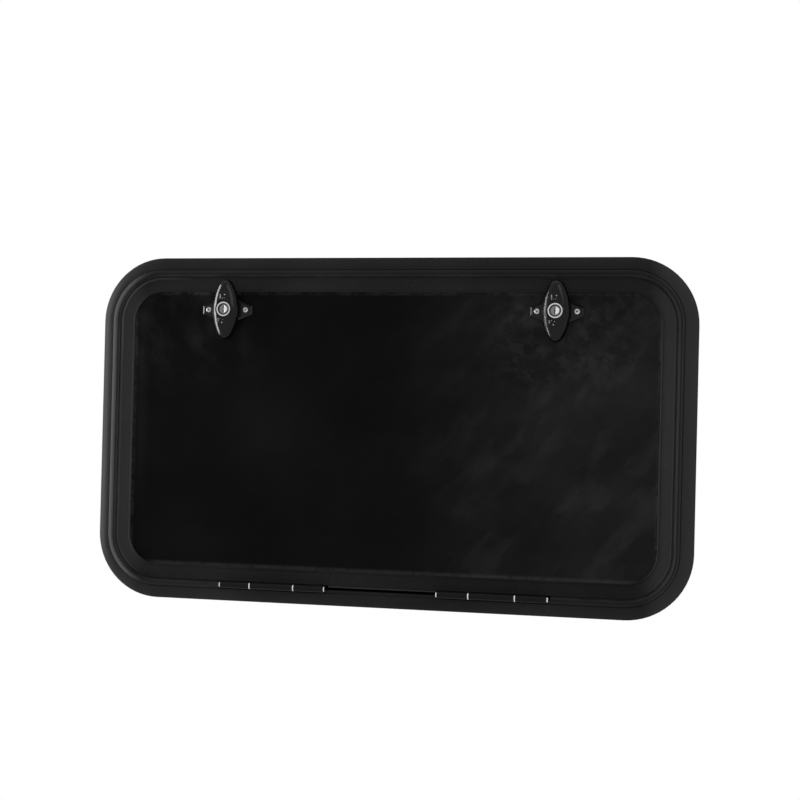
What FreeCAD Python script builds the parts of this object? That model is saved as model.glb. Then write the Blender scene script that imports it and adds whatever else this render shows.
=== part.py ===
# Luggage hatch door for a camper: a bent aluminium frame with a drop-down door on two knuckle hinges
# and two turn locks with key cylinders. Millimetres. X runs to the right, Y runs into the vehicle, Z runs up.
# The origin is the middle of the opening in the plane of the wall skin, so the outside faces minus Y.

import FreeCAD
import Part
import Sketcher
import math
import os

doc = FreeCAD.newDocument("LuggageHatch")
sheet = doc.addObject("Spreadsheet::Sheet", "Sizes")

# Every size once. An inset is measured from the frame's outer edge towards the middle,
# and a level is measured from the wall skin towards the outside.
SIZES = {
    "width": 700,
    "height": 400,
    "corner": 75,
    "foot_wide": 5,
    "edge_level": 2,
    "crown": 20,
    "crown_end": 14.2,
    "crown_level": 9,
    "groove_level": 7.6,
    "rib_start": 15.1,
    "rib_wide": 5,
    "rib_bevel": 1.6,
    "rib_low": 9.4,
    "rib_level": 11,
    "hollow_low": 3.8,
    "hollow_turn": 9,
    "hollow_high": 5.5,
    "web_inset": 18,
    "web_thick": 2.2,
    "land_level": -24,
    "land_thick": 2.2,
    "land_inset": 32,
    "mill_clear": 1.3,
    "mill_level": 7.2,
    "gap": 5,
    "strip_gap": 1.4,
    "strip_level": 6.8,
    "strip_thick": 1.2,
    "strip_root": 2.6,
    "band_wide": 17,
    "band_level": 5.6,
    "band_thick": 2,
    "lip_high": 0.6,
    "lip_wide": 2.4,
    "lip_bevel": 0.6,
    "side_thick": 2.2,
    "panel_thick": 19.6,
    "skin_thick": 1.5,
    "back_thick": 2,
    "back_wide": 11,
    "back_bevel": 1.5,
    "panel_clear": 0.3,
    "seal_inset": 24.5,
    "seal_wide": 7,
    "seal_clear": 0.3,
    "jamb_screw_level": -9,
    "jamb_screw_radius": 2.25,
    "jamb_screw_half_x": 235,
    "jamb_screw_half_z": 80,
    "hinge_offset": 129,
    "hinge_inset": 19.6,
    "hinge_level": 13.5,
    "barrel_radius": 4,
    "pin_radius": 2,
    "pin_clear": 0.06,
    "middle_knuckle": 51,
    "outer_knuckle": 35,
    "washer_thick": 1.2,
    "washer_clear": 0.3,
    "pin_head_radius": 3,
    "pin_head_thick": 1.4,
    "leaf_thick": 1.5,
    "leaf_top_level": 3.6,
    "leaf_end_level": -13,
    "lock_offset": 194,
    "lock_down": 61,
    "base_half_long": 30.4,
    "base_half_high": 17,
    "base_end_half": 5,
    "base_thick": 5,
    "base_bevel": 2.4,
    "boss_radius": 13,
    "boss_high": 1.5,
    "tube_radius": 11,
    "tube_end_level": -22,
    "tube_clear": 0.3,
    "spindle_radius": 5,
    "spindle_clear": 0.1,
    "nut_across": 30,
    "nut_thick": 4.5,
    "handle_half_long": 34.6,
    "handle_half_wide": 15.6,
    "handle_tip": 9,
    "handle_clear": 0.4,
    "handle_lift": 1,
    "handle_hub_radius": 11,
    "handle_high": 9.5,
    "handle_round": 4.5,
    "ring_seat_radius": 10.5,
    "ring_seat_deep": 1.2,
    "ring_radius": 8.3,
    "ring_proud": 0.4,
    "ring_deep": 6,
    "plug_radius": 5.6,
    "plug_clear": 0.1,
    "plug_sunk": 1.2,
    "slot_long": 7,
    "slot_wide": 1.8,
    "slot_deep": 5,
    "cam_clear": 2,
    "cam_thick": 3,
    "cam_reach": 40,
    "cam_half_wide": 8,
    "cam_tip_radius": 3,
    "square_half": 3.5,
    "square_clear": 0.1,
    "cam_nut_across": 13,
    "cam_nut_thick": 5,
    "stud_radius": 3,
    "stud_past": 2,
}
for row, (alias, value) in enumerate(SIZES.items(), start=1):
    sheet.set("A%d" % row, alias.replace("_", " "))
    sheet.set("B%d" % row, str(value))
    sheet.setAlias("B%d" % row, alias)
doc.recompute()

# Levels and insets that several pieces share, as sums of the sizes above.
WEB_FACE = "<<Sizes>>.web_inset"
WEB_START = "(<<Sizes>>.web_inset - <<Sizes>>.web_thick)"
LAND_BACK = "(<<Sizes>>.land_level - <<Sizes>>.land_thick)"
DOOR_EDGE = "(<<Sizes>>.web_inset + <<Sizes>>.gap)"
BAND_END = "(" + DOOR_EDGE + " + <<Sizes>>.band_wide)"
LIP_LEVEL = "(<<Sizes>>.band_level + <<Sizes>>.lip_high)"
PANEL_FACE = "(<<Sizes>>.band_level - <<Sizes>>.band_thick)"
PANEL_BACK = "(" + PANEL_FACE + " - <<Sizes>>.panel_thick)"
DOOR_BACK = "(" + PANEL_BACK + " - <<Sizes>>.back_thick)"
PANEL_EDGE = "(" + DOOR_EDGE + " + <<Sizes>>.side_thick + <<Sizes>>.panel_clear)"
BASE_FACE = "(" + PANEL_FACE + " + <<Sizes>>.base_thick)"
BOSS_FACE = "(" + BASE_FACE + " + <<Sizes>>.boss_high)"
HUB_FACE = "(" + BOSS_FACE + " + <<Sizes>>.handle_clear)"
GRIP_BACK = "(" + HUB_FACE + " + <<Sizes>>.handle_lift)"
GRIP_FACE = "(" + GRIP_BACK + " + <<Sizes>>.handle_high)"
SEAT_FACE = "(" + GRIP_FACE + " - <<Sizes>>.ring_seat_deep)"
RING_FACE = "(" + GRIP_FACE + " + <<Sizes>>.ring_proud)"
RING_BACK = "(" + SEAT_FACE + " - <<Sizes>>.ring_deep)"
PLUG_FACE = "(" + RING_FACE + " - <<Sizes>>.plug_sunk)"
CAM_FACE = "(" + LAND_BACK + " - <<Sizes>>.cam_clear)"
CAM_BACK = "(" + CAM_FACE + " - <<Sizes>>.cam_thick)"
KNUCKLE_GAP = "(<<Sizes>>.washer_thick + 2 * <<Sizes>>.washer_clear)"
OUTER_START = "(<<Sizes>>.middle_knuckle / 2 + " + KNUCKLE_GAP + ")"
OUTER_END = "(" + OUTER_START + " + <<Sizes>>.outer_knuckle)"
HINGE_END = "(<<Sizes>>.hinge_offset + " + OUTER_END + " + <<Sizes>>.pin_head_thick)"
MILL_HALF = "(" + HINGE_END + " + <<Sizes>>.mill_clear)"
FLOOR_EDGE = "(-<<Sizes>>.height / 2)"
LOCK_HEIGHT = "(<<Sizes>>.height / 2 - <<Sizes>>.lock_down)"


def size(name):
    return "<<Sizes>>." + name


def amount(text):
    found = sheet.evalExpression(text)
    return float(getattr(found, "Value", found))


def new_body(name):
    body = doc.addObject("PartDesign::Body", name)
    body.Label = name
    return body


def place(body, x="0", level="0", z="0"):
    body.setExpression("Placement.Base.x", x)
    body.setExpression("Placement.Base.y", "-" + level)
    body.setExpression("Placement.Base.z", z)


def new_sketch(body, role, offset=None):
    sketch = body.newObject("Sketcher::SketchObject", body.Name + "_sketch")
    plane = [o for o in body.Origin.OriginFeatures if o.Role == role][0]
    sketch.AttachmentSupport = [(plane, "")]
    sketch.MapMode = "FlatFace"
    if offset is not None:
        sketch.setExpression("AttachmentOffset.Base.z", offset)
    return sketch


def bind(sketch, constraint, text):
    index = sketch.addConstraint(constraint)
    sketch.setExpression("Constraints[%d]" % index, text)


def fix_point(sketch, geometry, end, x, y):
    bind(sketch, Sketcher.Constraint("DistanceX", -1, 1, geometry, end, amount(x)), x)
    bind(sketch, Sketcher.Constraint("DistanceY", -1, 1, geometry, end, amount(y)), y)


# An outline through points given as sums of sizes. A third entry makes the way to the next point an arc
# of that radius, with its centre on the left of the way for "left" and on the right for "right".
def outline(sketch, points, closed=True):
    spots = [FreeCAD.Vector(amount(p[0]), amount(p[1]), 0) for p in points]
    count = len(points) if closed else len(points) - 1
    up = FreeCAD.Vector(0, 0, 1)
    ends = []
    for i in range(count):
        start = spots[i]
        stop = spots[(i + 1) % len(spots)]
        if len(points[i]) == 2:
            index = sketch.addGeometry(Part.LineSegment(start, stop), False)
            ends.append((index, 1, 2))
            continue
        radius = amount(points[i][2])
        turn = 1 if points[i][3] == "left" else -1
        way = stop - start
        reach = math.sqrt(max(radius**2 - (way.Length / 2) ** 2, 0.0))
        side = FreeCAD.Vector(-way.y, way.x, 0)
        side.normalize()
        centre = (start + stop) * 0.5 + side * reach * turn
        first = start if turn > 0 else stop
        last = stop if turn > 0 else start
        begin = math.atan2(first.y - centre.y, first.x - centre.x)
        finish = math.atan2(last.y - centre.y, last.x - centre.x)
        if finish <= begin:
            finish += 2 * math.pi
        arc = Part.ArcOfCircle(Part.Circle(centre, up, radius), begin, finish)
        index = sketch.addGeometry(arc, False)
        ends.append((index, 1, 2) if turn > 0 else (index, 2, 1))
    for i in range(count):
        index, start_end, stop_end = ends[i]
        fix_point(sketch, index, start_end, points[i][0], points[i][1])
        if i + 1 < count or closed:
            following = ends[(i + 1) % count]
            joint = Sketcher.Constraint("Coincident", index, stop_end, following[0], following[1])
            sketch.addConstraint(joint)
        else:
            fix_point(sketch, index, stop_end, points[-1][0], points[-1][1])
    for i in range(count):
        if len(points[i]) == 4:
            index = ends[i][0]
            bind(sketch, Sketcher.Constraint("Radius", index, amount(points[i][2])), points[i][2])


def circle(sketch, radius, x="0", y="0"):
    spot = FreeCAD.Vector(amount(x), amount(y), 0)
    ring = Part.Circle(spot, FreeCAD.Vector(0, 0, 1), amount(radius))
    index = sketch.addGeometry(ring, False)
    fix_point(sketch, index, 3, x, y)
    bind(sketch, Sketcher.Constraint("Radius", index, amount(radius)), radius)


def rectangle(sketch, left, right, low, high):
    outline(sketch, [(left, low), (right, low), (right, high), (left, high)])


# A rectangle with round corners, all round at one inset from the frame's outer edge.
def round_rectangle(sketch, inset):
    half_x = "(<<Sizes>>.width / 2 - " + inset + ")"
    half_z = "(<<Sizes>>.height / 2 - " + inset + ")"
    radius = "(<<Sizes>>.corner - " + inset + ")"
    in_x = "(<<Sizes>>.width / 2 - <<Sizes>>.corner)"
    in_z = "(<<Sizes>>.height / 2 - <<Sizes>>.corner)"
    points = [
        ("-" + in_x, "-" + half_z),
        (in_x, "-" + half_z, radius, "left"),
        (half_x, "-" + in_z),
        (half_x, in_z, radius, "left"),
        (in_x, half_z),
        ("-" + in_x, half_z, radius, "left"),
        ("-" + half_x, in_z),
        ("-" + half_x, "-" + in_z, radius, "left"),
    ]
    outline(sketch, points)


# The same way round, started at the middle of the lower edge, for a section to be bent along.
def bend_path(body):
    sketch = new_sketch(body, "XZ_Plane")
    half_x = "(<<Sizes>>.width / 2)"
    half_z = "(<<Sizes>>.height / 2)"
    in_x = "(<<Sizes>>.width / 2 - <<Sizes>>.corner)"
    in_z = "(<<Sizes>>.height / 2 - <<Sizes>>.corner)"
    radius = size("corner")
    points = [
        ("0", "-" + half_z),
        (in_x, "-" + half_z, radius, "left"),
        (half_x, "-" + in_z),
        (half_x, in_z, radius, "left"),
        (in_x, half_z),
        ("-" + in_x, half_z, radius, "left"),
        ("-" + half_x, in_z),
        ("-" + half_x, "-" + in_z, radius, "left"),
        ("-" + in_x, "-" + half_z),
    ]
    outline(sketch, points)
    return sketch


# A section drawn as (inset, level) points, standing on the middle of the lower edge.
def section(body, points):
    sketch = new_sketch(body, "YZ_Plane")
    drawn = []
    for point in points:
        drawn.append(("-" + point[1], FLOOR_EDGE + " + " + point[0]) + tuple(point[2:]))
    outline(sketch, drawn)
    return sketch


def bent_ring(name, points):
    body = new_body(name)
    path = bend_path(body)
    shape = section(body, points)
    doc.recompute()
    ring = body.newObject("PartDesign::AdditivePipe", name + "_bend")
    ring.Profile = shape
    ring.Spine = (path, [])
    ring.Mode = "Standard"
    doc.recompute()
    return body


def pad(body, sketch, length, reverse=False):
    feature = body.newObject("PartDesign::Pad", body.Name + "_pad")
    feature.Profile = sketch
    feature.setExpression("Length", length)
    feature.Reversed = reverse
    return feature


def pocket(body, sketch, length):
    feature = body.newObject("PartDesign::Pocket", body.Name + "_pocket")
    feature.Profile = sketch
    feature.setExpression("Length", length)
    return feature


def pocket_both_ways(body, sketch):
    feature = body.newObject("PartDesign::Pocket", body.Name + "_holes")
    feature.Profile = sketch
    feature.Type = "ThroughAll"
    feature.Midplane = True
    return feature


# A slab from one level to a higher one, seen from outside as the sketch drawn by the given call.
def slab(body, low, high, draw):
    sketch = new_sketch(body, "XZ_Plane", low)
    draw(sketch)
    return pad(body, sketch, high + " - " + low)


def cut_slab(body, low, high, draw):
    sketch = new_sketch(body, "XZ_Plane", high)
    draw(sketch)
    return pocket(body, sketch, high + " - " + low)


# Outer frame: a crowned flange with a foot on the wall, a sealant hollow, a rounded rib,
# a web through the wall and a land for the seal, bent round four corners.
RIB_IN = "(<<Sizes>>.rib_start + <<Sizes>>.rib_wide)"
RIB_FOOT = "(<<Sizes>>.rib_low + <<Sizes>>.web_inset - " + RIB_IN + ")"
RIB_TOP = "(<<Sizes>>.rib_level + <<Sizes>>.rib_bevel)"
frame_points = [
    ("0", "0"),
    (size("foot_wide"), "0"),
    (size("foot_wide"), size("hollow_low")),
    (size("hollow_turn"), size("hollow_high")),
    (WEB_START, size("hollow_high")),
    (WEB_START, LAND_BACK),
    (size("land_inset"), LAND_BACK),
    (size("land_inset"), size("land_level")),
    (WEB_FACE, size("land_level")),
    (WEB_FACE, RIB_FOOT),
    (RIB_IN, size("rib_low")),
    (RIB_IN, size("rib_level")),
    ("(" + RIB_IN + " - <<Sizes>>.rib_bevel)", RIB_TOP),
    ("(<<Sizes>>.rib_start + <<Sizes>>.rib_bevel)", RIB_TOP),
    (size("rib_start"), size("rib_level")),
    (size("rib_start"), size("groove_level")),
    (size("crown_end"), size("groove_level")),
    (size("crown_end"), size("crown_level"), size("crown"), "left"),
    ("0", size("edge_level")),
]
frame = bent_ring("outer_frame", frame_points)
mill = new_sketch(frame, "XZ_Plane", "(" + RIB_TOP + " + 5)")
rectangle(
    mill,
    "-" + MILL_HALF,
    MILL_HALF,
    FLOOR_EDGE + " + (<<Sizes>>.rib_start + <<Sizes>>.crown_end) / 2",
    FLOOR_EDGE + " + " + RIB_IN + " + 2",
)
pocket(frame, mill, RIB_TOP + " + 5 - <<Sizes>>.mill_level")
uprights = new_sketch(frame, "XY_Plane")
circle(uprights, size("jamb_screw_radius"), "-" + size("jamb_screw_half_x"), "-" + size("jamb_screw_level"))
circle(uprights, size("jamb_screw_radius"), size("jamb_screw_half_x"), "-" + size("jamb_screw_level"))
doc.recompute()
pocket_both_ways(frame, uprights)
sideways = new_sketch(frame, "YZ_Plane")
circle(sideways, size("jamb_screw_radius"), "-" + size("jamb_screw_level"), "-" + size("jamb_screw_half_z"))
circle(sideways, size("jamb_screw_radius"), "-" + size("jamb_screw_level"), size("jamb_screw_half_z"))
doc.recompute()
pocket_both_ways(frame, sideways)

# Seal: a D section of rubber on the land, just short of the door's back.
SEAL_TOP = "(" + DOOR_BACK + " - <<Sizes>>.seal_clear)"
SEAL_SHOULDER = "(" + SEAL_TOP + " - 2)"
seal_points = [
    (size("seal_inset"), size("land_level")),
    ("(<<Sizes>>.seal_inset + <<Sizes>>.seal_wide)", size("land_level")),
    ("(<<Sizes>>.seal_inset + <<Sizes>>.seal_wide)", SEAL_SHOULDER),
    ("(<<Sizes>>.seal_inset + <<Sizes>>.seal_wide - 2)", SEAL_TOP),
    ("(<<Sizes>>.seal_inset + 2)", SEAL_TOP),
    (size("seal_inset"), SEAL_SHOULDER),
]
bent_ring("frame_seal", seal_points)

# Gap strip: a rubber fin under the rib that narrows the gap round the door, left out between the hinges' ends.
STRIP_END = "(" + DOOR_EDGE + " - <<Sizes>>.strip_gap)"
strip_points = [
    (WEB_FACE, "(<<Sizes>>.strip_level - <<Sizes>>.strip_root)"),
    (STRIP_END, "(<<Sizes>>.strip_level - <<Sizes>>.strip_thick)"),
    (STRIP_END, size("strip_level")),
    (WEB_FACE, size("strip_level")),
]
strip = bent_ring("gap_strip", strip_points)
strip_cut = new_sketch(strip, "XZ_Plane", RIB_TOP)
strip_low = FLOOR_EDGE + " + <<Sizes>>.web_inset - 1"
strip_high = FLOOR_EDGE + " + " + STRIP_END + " + 1"
rectangle(strip_cut, "-" + MILL_HALF, MILL_HALF, strip_low, strip_high)
pocket(strip, strip_cut, RIB_TOP + " - <<Sizes>>.strip_level + <<Sizes>>.strip_root + 1")

# Door frame: a channel bent round the panel, with a raised lip along each edge of its face.
BAND = size("band_level")
EDGE_IN = "(" + DOOR_EDGE + " + <<Sizes>>.side_thick)"
BACK_END = "(" + DOOR_EDGE + " + <<Sizes>>.back_wide)"
LIP = size("lip_wide")
BEVEL = size("lip_bevel")
door_points = [
    (DOOR_EDGE, "(" + DOOR_BACK + " + <<Sizes>>.back_bevel)"),
    ("(" + DOOR_EDGE + " + <<Sizes>>.back_bevel)", DOOR_BACK),
    (BACK_END, DOOR_BACK),
    (BACK_END, PANEL_BACK),
    (EDGE_IN, PANEL_BACK),
    (EDGE_IN, PANEL_FACE),
    (BAND_END, PANEL_FACE),
    (BAND_END, BAND),
    ("(" + BAND_END + " - " + BEVEL + ")", LIP_LEVEL),
    ("(" + BAND_END + " - " + LIP + " + " + BEVEL + ")", LIP_LEVEL),
    ("(" + BAND_END + " - " + LIP + ")", BAND),
    ("(" + DOOR_EDGE + " + " + LIP + ")", BAND),
    ("(" + DOOR_EDGE + " + " + LIP + " - " + BEVEL + ")", LIP_LEVEL),
    ("(" + DOOR_EDGE + " + " + BEVEL + ")", LIP_LEVEL),
    (DOOR_EDGE, BAND),
]
bent_ring("door_frame", door_points)

# Panel: two skins on a foam core, all with a hole for each lock.
TUBE_HOLE = "(<<Sizes>>.tube_radius + <<Sizes>>.tube_clear)"


def panel_layer(name, low, high):
    body = new_body(name)

    def draw(sketch):
        round_rectangle(sketch, PANEL_EDGE)
        circle(sketch, TUBE_HOLE, "-" + size("lock_offset"), LOCK_HEIGHT)
        circle(sketch, TUBE_HOLE, size("lock_offset"), LOCK_HEIGHT)

    slab(body, low, high, draw)


SKIN = size("skin_thick")
panel_layer("outer_skin", "(" + PANEL_FACE + " - " + SKIN + ")", PANEL_FACE)
panel_layer("foam_core", "(" + PANEL_BACK + " + " + SKIN + ")", "(" + PANEL_FACE + " - " + SKIN + ")")
panel_layer("inner_skin", PANEL_BACK, "(" + PANEL_BACK + " + " + SKIN + ")")

# Hinges: each piece is drawn round the hinge's own pin line and set at both places.
BORE = "(<<Sizes>>.pin_radius + <<Sizes>>.pin_clear)"
BARREL = size("barrel_radius")
PLATE_TOP = "(<<Sizes>>.leaf_top_level - <<Sizes>>.hinge_level)"
PLATE_END = "(<<Sizes>>.leaf_end_level - <<Sizes>>.hinge_level)"
LEAF_SEAT = "(<<Sizes>>.web_inset - <<Sizes>>.hinge_inset)"
DOOR_FACE = "(" + DOOR_EDGE + " - <<Sizes>>.hinge_inset)"


def hinge_place(body, side):
    place(body, side + size("hinge_offset"), size("hinge_level"), FLOOR_EDGE + " + <<Sizes>>.hinge_inset")


def barrel_ring(body, start, stop, radius, bore):
    sketch = new_sketch(body, "YZ_Plane", start)
    circle(sketch, radius)
    if bore is not None:
        circle(sketch, bore)
    return pad(body, sketch, stop + " - " + start)


# A plate of the leaf: across along X, from one face to the other along Z, from one level down to another.
def leaf_plate(body, start, stop, low, high, top, end):
    sketch = new_sketch(body, "YZ_Plane", start)
    rectangle(sketch, "-" + top, "-" + end, low, high)
    return pad(body, sketch, stop + " - " + start)


def bore_through(body, start, stop):
    sketch = new_sketch(body, "YZ_Plane", start)
    circle(sketch, BORE)
    feature = pocket(body, sketch, stop + " - " + start)
    feature.Reversed = True
    return feature


STRAP_TOP = "(0 - <<Sizes>>.pin_radius)"
for name, side in (("left", "-"), ("right", "")):
    frame_leaf = new_body(name + "_hinge_frame_leaf")
    low = LEAF_SEAT
    high = "(" + LEAF_SEAT + " + <<Sizes>>.leaf_thick)"
    leaf_plate(frame_leaf, "-" + OUTER_END, OUTER_END, low, high, PLATE_TOP, PLATE_END)
    for start, stop in (("-" + OUTER_END, "-" + OUTER_START), (OUTER_START, OUTER_END)):
        leaf_plate(frame_leaf, start, stop, low, high, STRAP_TOP, PLATE_TOP)
        barrel_ring(frame_leaf, start, stop, BARREL, None)
        bore_through(frame_leaf, start, stop)
    hinge_place(frame_leaf, side)

    door_leaf = new_body(name + "_hinge_door_leaf")
    low = "(" + DOOR_FACE + " - <<Sizes>>.leaf_thick)"
    high = DOOR_FACE
    start = "(0 - <<Sizes>>.middle_knuckle / 2)"
    stop = "(<<Sizes>>.middle_knuckle / 2)"
    leaf_plate(door_leaf, "-" + OUTER_END, OUTER_END, low, high, PLATE_TOP, PLATE_END)
    leaf_plate(door_leaf, start, stop, low, high, STRAP_TOP, PLATE_TOP)
    barrel_ring(door_leaf, start, stop, BARREL, None)
    bore_through(door_leaf, start, stop)
    hinge_place(door_leaf, side)

    pin = new_body(name + "_hinge_pin")
    barrel_ring(pin, "-" + OUTER_END, OUTER_END, size("pin_radius"), None)
    head_end = "(" + OUTER_END + " + <<Sizes>>.pin_head_thick)"
    barrel_ring(pin, OUTER_END, head_end, size("pin_head_radius"), None)
    barrel_ring(pin, "-" + head_end, "-" + OUTER_END, size("pin_head_radius"), None)
    hinge_place(pin, side)

    for end, sign in (("left", "-"), ("right", "")):
        washer = new_body(name + "_hinge_" + end + "_washer")
        near = "(<<Sizes>>.middle_knuckle / 2 + <<Sizes>>.washer_clear)"
        far = "(" + near + " + <<Sizes>>.washer_thick)"
        if sign:
            barrel_ring(washer, "-" + far, "-" + near, BARREL, BORE)
        else:
            barrel_ring(washer, near, far, BARREL, BORE)
        hinge_place(washer, side)

# Locks: each piece is drawn round the lock's own axis and set at both places.
BASE_LONG = size("base_half_long")
BASE_HIGH = size("base_half_high")
BASE_END = size("base_end_half")
SPINDLE_BORE = "(<<Sizes>>.spindle_radius + <<Sizes>>.spindle_clear)"


def lock_place(body, side):
    place(body, side + size("lock_offset"), "0", LOCK_HEIGHT)


def base_outline(sketch):
    points = [
        ("-" + BASE_LONG, "-" + BASE_END),
        ("0", "-" + BASE_HIGH),
        (BASE_LONG, "-" + BASE_END),
        (BASE_LONG, BASE_END),
        ("0", BASE_HIGH),
        ("-" + BASE_LONG, BASE_END),
    ]
    outline(sketch, points)


def hexagon(across):
    flat = across + " / 2"
    point = across + " / sqrt(3)"
    half = across + " / (2 * sqrt(3))"

    def draw(sketch):
        points = [
            ("-" + half, "-" + flat),
            (half, "-" + flat),
            (point, "0"),
            (half, flat),
            ("-" + half, flat),
            ("-" + point, "0"),
        ]
        outline(sketch, points)

    return draw


def disc(radius, bore=None):
    def draw(sketch):
        circle(sketch, radius)
        if bore is not None:
            circle(sketch, bore)

    return draw


# The grip's outline: two long arcs with a round tip at each end.
HALF_LONG = size("handle_half_long")
HALF_WIDE = size("handle_half_wide")
TIP = size("handle_tip")
CENTRE_OFF = "((" + HALF_LONG + " - " + TIP + ")^2 - (" + HALF_WIDE + " - " + TIP + ")^2) / (2 * (" + HALF_WIDE + " - " + TIP + "))"
LONG_ARC = "(" + CENTRE_OFF + " + " + HALF_WIDE + ")"
LEAN = TIP + " / (" + LONG_ARC + " - " + TIP + ")"
TOUCH_X = "(" + CENTRE_OFF + " * " + LEAN + ")"
TOUCH_Z = "((" + HALF_LONG + " - " + TIP + ") * (1 + " + LEAN + "))"


def grip_outline(sketch):
    points = [
        (TOUCH_X, "-" + TOUCH_Z, LONG_ARC, "left"),
        (TOUCH_X, TOUCH_Z, TIP, "left"),
        ("-" + TOUCH_X, TOUCH_Z, LONG_ARC, "left"),
        ("-" + TOUCH_X, "-" + TOUCH_Z, TIP, "left"),
    ]
    outline(sketch, points)


def square(half):
    def draw(sketch):
        rectangle(sketch, "-" + half, half, "-" + half, half)

    return draw


SQUARE = size("square_half")
SQUARE_HOLE = "(<<Sizes>>.square_half + <<Sizes>>.square_clear)"
STUD_END = "(" + CAM_BACK + " - <<Sizes>>.cam_nut_thick - <<Sizes>>.stud_past)"


def cam_outline(sketch):
    tip = size("cam_tip_radius")
    wide = size("cam_half_wide")
    reach = size("cam_reach")
    points = [
        ("-" + wide, "-" + wide),
        ("(" + reach + " - " + tip + ")", "-" + wide, tip, "left"),
        (reach, "(" + tip + " - " + wide + ")"),
        (reach, "(" + wide + " - " + tip + ")", tip, "left"),
        ("(" + reach + " - " + tip + ")", wide),
        ("-" + wide, wide),
    ]
    outline(sketch, points)
    rectangle(sketch, "-" + SQUARE_HOLE, SQUARE_HOLE, "-" + SQUARE_HOLE, SQUARE_HOLE)


def bevel(body, feature, level, width):
    doc.recompute()
    picked = []
    for index, edge in enumerate(feature.Shape.Edges, start=1):
        box = edge.BoundBox
        if abs(box.YMin + level) < 1e-4 and abs(box.YMax + level) < 1e-4:
            picked.append("Edge%d" % index)
    chamfer = body.newObject("PartDesign::Chamfer", body.Name + "_bevel")
    chamfer.Base = (feature, picked)
    chamfer.setExpression("Size", width)
    return chamfer


# The grip's edge is rounded by a bevel whose two corners are bevelled again.
def round_edge(body, feature, level, width):
    first = bevel(body, feature, amount(level), width)
    second = bevel(body, first, amount(level), width + " * 0.4")
    return bevel(body, second, amount(level + " - " + width), width + " * 0.4")


for name, side in (("left", "-"), ("right", "")):
    lock = new_body(name + "_lock_body")
    plate = slab(lock, PANEL_FACE, BASE_FACE, base_outline)
    bevel(lock, plate, amount(BASE_FACE), size("base_bevel"))
    slab(lock, BASE_FACE, BOSS_FACE, disc(size("boss_radius")))
    slab(lock, size("tube_end_level"), PANEL_FACE, disc(size("tube_radius")))
    cut_slab(lock, size("tube_end_level"), BOSS_FACE, disc(SPINDLE_BORE))
    lock_place(lock, side)

    nut = new_body(name + "_lock_nut")
    slab(nut, "(" + PANEL_BACK + " - <<Sizes>>.nut_thick)", PANEL_BACK, hexagon(size("nut_across")))
    cut_slab(nut, "(" + PANEL_BACK + " - <<Sizes>>.nut_thick)", PANEL_BACK, disc(TUBE_HOLE))
    lock_place(nut, side)

    handle = new_body(name + "_handle")
    grip = slab(handle, GRIP_BACK, GRIP_FACE, grip_outline)
    round_edge(handle, grip, GRIP_FACE, size("handle_round"))
    slab(handle, HUB_FACE, GRIP_BACK, disc(size("handle_hub_radius")))
    cut_slab(handle, SEAT_FACE, GRIP_FACE, disc(size("ring_seat_radius")))
    cut_slab(handle, RING_BACK, SEAT_FACE, disc(size("ring_radius")))
    lock_place(handle, side)

    ring = new_body(name + "_cylinder_ring")
    slab(ring, RING_BACK, RING_FACE, disc(size("ring_radius"), "(<<Sizes>>.plug_radius + <<Sizes>>.plug_clear)"))
    lock_place(ring, side)

    plug = new_body(name + "_key_plug")
    slab(plug, RING_BACK, PLUG_FACE, disc(size("plug_radius")))
    half_long = "(<<Sizes>>.slot_long / 2)"
    half_wide = "(<<Sizes>>.slot_wide / 2)"

    def key_slot(sketch):
        rectangle(sketch, "-" + half_wide, half_wide, "-" + half_long, half_long)

    cut_slab(plug, "(" + PLUG_FACE + " - <<Sizes>>.slot_deep)", PLUG_FACE, key_slot)
    lock_place(plug, side)

    spindle = new_body(name + "_lock_spindle")
    slab(spindle, "(" + CAM_FACE + " + 0.2)", HUB_FACE, disc(size("spindle_radius")))
    slab(spindle, CAM_BACK, "(" + CAM_FACE + " + 0.2)", square(SQUARE))
    slab(spindle, STUD_END, CAM_BACK, disc(size("stud_radius")))
    lock_place(spindle, side)

    cam = new_body(name + "_lock_cam")
    slab(cam, CAM_BACK, CAM_FACE, cam_outline)
    lock_place(cam, side)

    cam_nut = new_body(name + "_cam_nut")
    slab(cam_nut, "(" + CAM_BACK + " - <<Sizes>>.cam_nut_thick)", CAM_BACK, hexagon(size("cam_nut_across")))
    cut_slab(cam_nut, "(" + CAM_BACK + " - <<Sizes>>.cam_nut_thick)", CAM_BACK, disc("(<<Sizes>>.stud_radius + 0.1)"))
    lock_place(cam_nut, side)

doc.recompute()

for item in doc.Objects:
    if "Invalid" in item.State or "Error" in item.State:
        raise RuntimeError("this step of the model failed: " + item.Label)

os.makedirs("parts", exist_ok=True)
for body in doc.findObjects("PartDesign::Body"):
    shape = body.Shape
    if shape.isNull() or not shape.isValid():
        raise RuntimeError("this piece has no sound shape: " + body.Label)
    shape.exportStep("parts/" + body.Label + ".step")
    print(body.Label, "solids", len(shape.Solids), "volume", round(shape.Volume, 1))
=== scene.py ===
# %% [markdown]
# # A luggage hatch for a camper
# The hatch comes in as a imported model: the frame, the door, the hinges and the locks are solid pieces.
# This lesson gives each of them the finish of the real thing, adds the small fasteners and marks,
# and lights the whole for a picture. Everything is in metres, with the outside facing minus Y.

import math

import bpy
from mathutils import Matrix, Vector


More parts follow.
